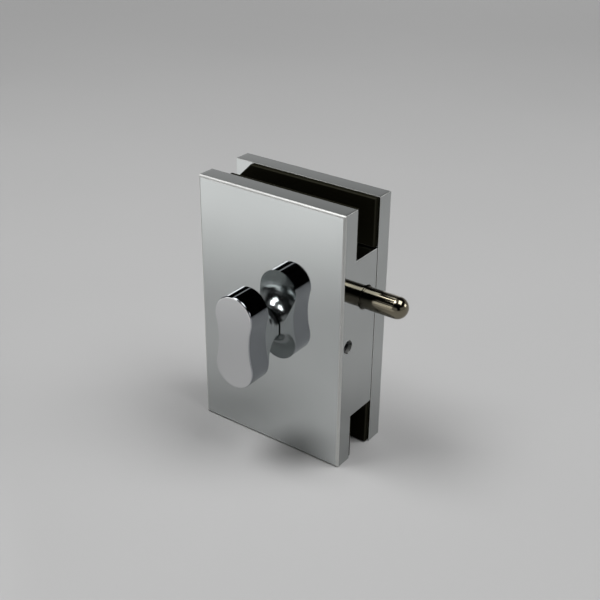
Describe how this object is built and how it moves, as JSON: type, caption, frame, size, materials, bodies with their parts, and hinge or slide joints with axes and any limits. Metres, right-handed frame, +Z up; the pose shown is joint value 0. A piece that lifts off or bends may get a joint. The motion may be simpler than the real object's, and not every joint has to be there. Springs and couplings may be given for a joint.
{
  "type": "glass door latch",
  "caption": "Patch latch clamped on a glass door leaf: two plates with a glass slot between them, a thumb-turn in front and a round bolt that slides out of the side face.",
  "frame": {"origin": "on the glass mid-plane, under the middle of the plates' bottom edges", "axes": "+X along the door, the way the bolt comes out; +Y through the glass, away from the thumb-turn; +Z up"},
  "size_m": [0.0635, 0.0372, 0.08],
  "materials": {
    "satin_chrome": "bright chrome plate on die-cast zinc, with a faint polish haze",
    "bright_chrome": "mirror chrome",
    "nickel": "polished nickel, warm",
    "steel": "machined",
    "spring_steel": "dark spring steel",
    "screw_steel": "zinc-plated",
    "zinc_sheet": "zinc-plated sheet",
    "bronze": "sintered bronze",
    "black_rubber": "matt black",
    "nylon": "black nylon"
  },
  "bodies": {
    "housing": {"front_housing": "satin_chrome", "back_plate": "satin_chrome", "front_gasket": "black_rubber", "back_gasket": "black_rubber", "knob_washer": "nylon", "bolt_guide": "bronze", "mechanism_cover": "zinc_sheet", "cover_screws": "screw_steel", "spindle_rear_bush": "bronze", "plate_screws": "screw_steel", "retaining_screw": "screw_steel", "friction_pad": "nylon"},
    "thumb_turn": {"thumb_knob": "bright_chrome", "knob_grub_screw": "steel", "spindle": "steel", "crank_arm": "steel", "crank_pin": "steel", "crank_roller": "bronze", "crank_clip": "spring_steel"},
    "bolt_carriage": {"bolt": "nickel", "bolt_slider": "steel", "slider_pin": "spring_steel"}
  },
  "joints": [
    {"name": "thumb_turn_hinge", "type": "hinge", "parent": "housing", "child": "thumb_turn", "pos_m": [-0.0017, -0.0115, 0.0396], "axis": [0, 1, 0], "range_deg": [-90, 0]},
    {"name": "bolt_slide", "type": "slide", "parent": "housing", "child": "bolt_carriage", "axis": [1, 0, 0], "range_m": [-0.0137, 0]}
  ],
  "couplings": [
    {"joint": "bolt_slide", "follows": "thumb_turn_hinge", "m_per_rad": 0.008658}
  ]
}
